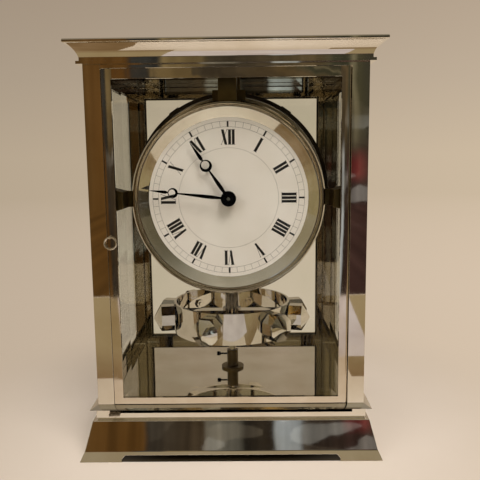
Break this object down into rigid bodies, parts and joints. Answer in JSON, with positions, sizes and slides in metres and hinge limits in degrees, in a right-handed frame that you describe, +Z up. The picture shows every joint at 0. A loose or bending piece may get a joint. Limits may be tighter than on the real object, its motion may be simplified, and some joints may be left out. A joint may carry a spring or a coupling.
{
  "type": "atmospheric clock",
  "caption": "Table clock in a nickelled glass case with square posts, round enamel dial, torsion pendulum with faceted weights, and a motor drum behind.",
  "frame": {"origin": "on the table, under the pendulum's axis, in the middle of the base", "axes": "+X to the right seen from the front, +Y to the back, +Z up"},
  "size_m": [0.203, 0.163, 0.2742],
  "materials": {
    "polished_nickel": "polished",
    "glass": "polished plate glass",
    "enamel": "fired enamel",
    "blued_steel": "blued and polished",
    "bronze": "satin bronze",
    "dark_band": "dark oxidised",
    "brass": "satin",
    "steel": "polished",
    "capsule_skin": "satin"
  },
  "bodies": {
    "case": {"base_skirt": "polished_nickel", "lower_moulding": "polished_nickel", "floor_plate": "polished_nickel", "front_posts": "polished_nickel", "rear_posts": "polished_nickel", "frame_rails": "polished_nickel", "side_glasses": "glass", "rear_frame": "polished_nickel", "rear_glass": "glass", "ceiling_plate": "polished_nickel", "cornice": "polished_nickel", "top_plate": "polished_nickel", "case_screws": "steel", "bezel": "polished_nickel", "dial_ring": "polished_nickel", "dial": "enamel", "side_arms": "bronze", "top_strut": "bronze", "top_bridge": "bronze", "suspension_block": "bronze", "front_plate": "brass", "back_plate": "brass", "plate_pillars": "brass", "plate_screws": "steel", "cradle_hoop": "dark_band", "hoop_clips": "dark_band", "hoop_hanger": "bronze", "drum_yoke": "bronze", "arrest_post": "polished_nickel"},
    "door": {"door_frame": "polished_nickel", "door_glass": "glass", "door_pivots": "steel", "pull_ears": "polished_nickel"},
    "pull": {"door_pull": "polished_nickel"},
    "minute": {"centre_arbor": "steel", "centre_wheel": "brass", "cannon_pinion": "steel", "minute_hand": "blued_steel"},
    "hour": {"hour_wheel": "brass", "hour_hand": "blued_steel"},
    "motion": {"minute_wheel": "brass"},
    "escape": {"escape_wheel": "brass"},
    "pallets": {"pallet_lever": "steel"},
    "spring_barrel": {"barrel": "brass"},
    "winding": {"winding_arbor": "steel"},
    "motor": {"drum_shell": "polished_nickel", "drum_lid": "polished_nickel", "expansion_capsule": "capsule_skin", "drum_gear": "steel"},
    "pendulum": {"pendulum_ring": "polished_nickel", "pendulum_cross": "polished_nickel", "pendulum_tube": "polished_nickel", "impulse_roller": "brass", "suspension_wire": "steel", "pendulum_weights": "polished_nickel", "weight_nuts": "polished_nickel"},
    "regulator_arm": {"regulator": "brass"},
    "plunger": {"arrest_plunger": "polished_nickel"},
    "thumb_screw": {"arrest_screw": "polished_nickel"},
    "lever": {"lock_lever": "blued_steel"}
  },
  "joints": [
    {"name": "door_hinge", "type": "hinge", "parent": "case", "child": "door", "pos_m": [0.0772, -0.0685, 0.15], "axis": [0, 0, 1], "range_deg": [0, 95]},
    {"name": "pull_swing", "type": "hinge", "parent": "door", "child": "pull", "pos_m": [-0.0768, -0.0716, 0.1508], "axis": [-1, 0, 0], "range_deg": [0, 80]},
    {"name": "minute_turn", "type": "hinge", "parent": "case", "child": "minute", "pos_m": [0, -0.03, 0.174], "axis": [0, 1, 0], "continuous": true},
    {"name": "hour_turn", "type": "hinge", "parent": "case", "child": "hour", "pos_m": [0, -0.05, 0.174], "axis": [0, 1, 0], "continuous": true},
    {"name": "motion_turn", "type": "hinge", "parent": "case", "child": "motion", "pos_m": [-0.0118, -0.045, 0.16574], "axis": [0, 1, 0], "continuous": true},
    {"name": "escape_turn", "type": "hinge", "parent": "case", "child": "escape", "pos_m": [0, -0.028, 0.194], "axis": [0, 1, 0], "continuous": true},
    {"name": "barrel_turn", "type": "hinge", "parent": "case", "child": "spring_barrel", "pos_m": [0.02061, -0.03, 0.1621], "axis": [0, 1, 0], "continuous": true},
    {"name": "pallet_swing", "type": "hinge", "parent": "case", "child": "pallets", "pos_m": [0, -0.028, 0.2069], "axis": [0, 1, 0], "range_deg": [-3, 3]},
    {"name": "motor_turn", "type": "hinge", "parent": "case", "child": "motor", "pos_m": [0, 0.03, 0.174], "axis": [0, 1, 0], "range_deg": [-60, 60]},
    {"name": "winding_turn", "type": "hinge", "parent": "case", "child": "winding", "pos_m": [0.02061, -0.01, 0.1621], "axis": [0, 1, 0], "range_deg": [-144, 144]},
    {"name": "pendulum_turn", "type": "hinge", "parent": "case", "child": "pendulum", "pos_m": [0, 0, 0.08], "axis": [0, 0, 1], "range_deg": [-270, 270]},
    {"name": "regulator_turn", "type": "hinge", "parent": "case", "child": "regulator_arm", "pos_m": [0, 0, 0.2405], "axis": [0, 0, 1], "range_deg": [-15, 15]},
    {"name": "lever_swing", "type": "hinge", "parent": "case", "child": "lever", "pos_m": [-0.078, -0.05, 0.031], "axis": [0, 0, 1], "range_deg": [0, 12]},
    {"name": "plunger_lift", "type": "slide", "parent": "case", "child": "plunger", "axis": [0, 0, 1], "range_m": [0, 0.0012]},
    {"name": "thumb_screw_turn", "type": "hinge", "parent": "case", "child": "thumb_screw", "pos_m": [-0.006, 0, 0.0475], "axis": [1, 0, 0], "continuous": true}
  ],
  "couplings": [
    {"joint": "hour_turn", "follows": "minute_turn", "ratio": 0.083333},
    {"joint": "motion_turn", "follows": "minute_turn", "ratio": -0.33333},
    {"joint": "escape_turn", "follows": "minute_turn", "ratio": -4},
    {"joint": "barrel_turn", "follows": "minute_turn", "ratio": -0.17241},
    {"joint": "winding_turn", "follows": "motor_turn", "ratio": -2.4},
    {"joint": "plunger_lift", "follows": "lever_swing", "m_per_rad": 0.0057296}
  ]
}
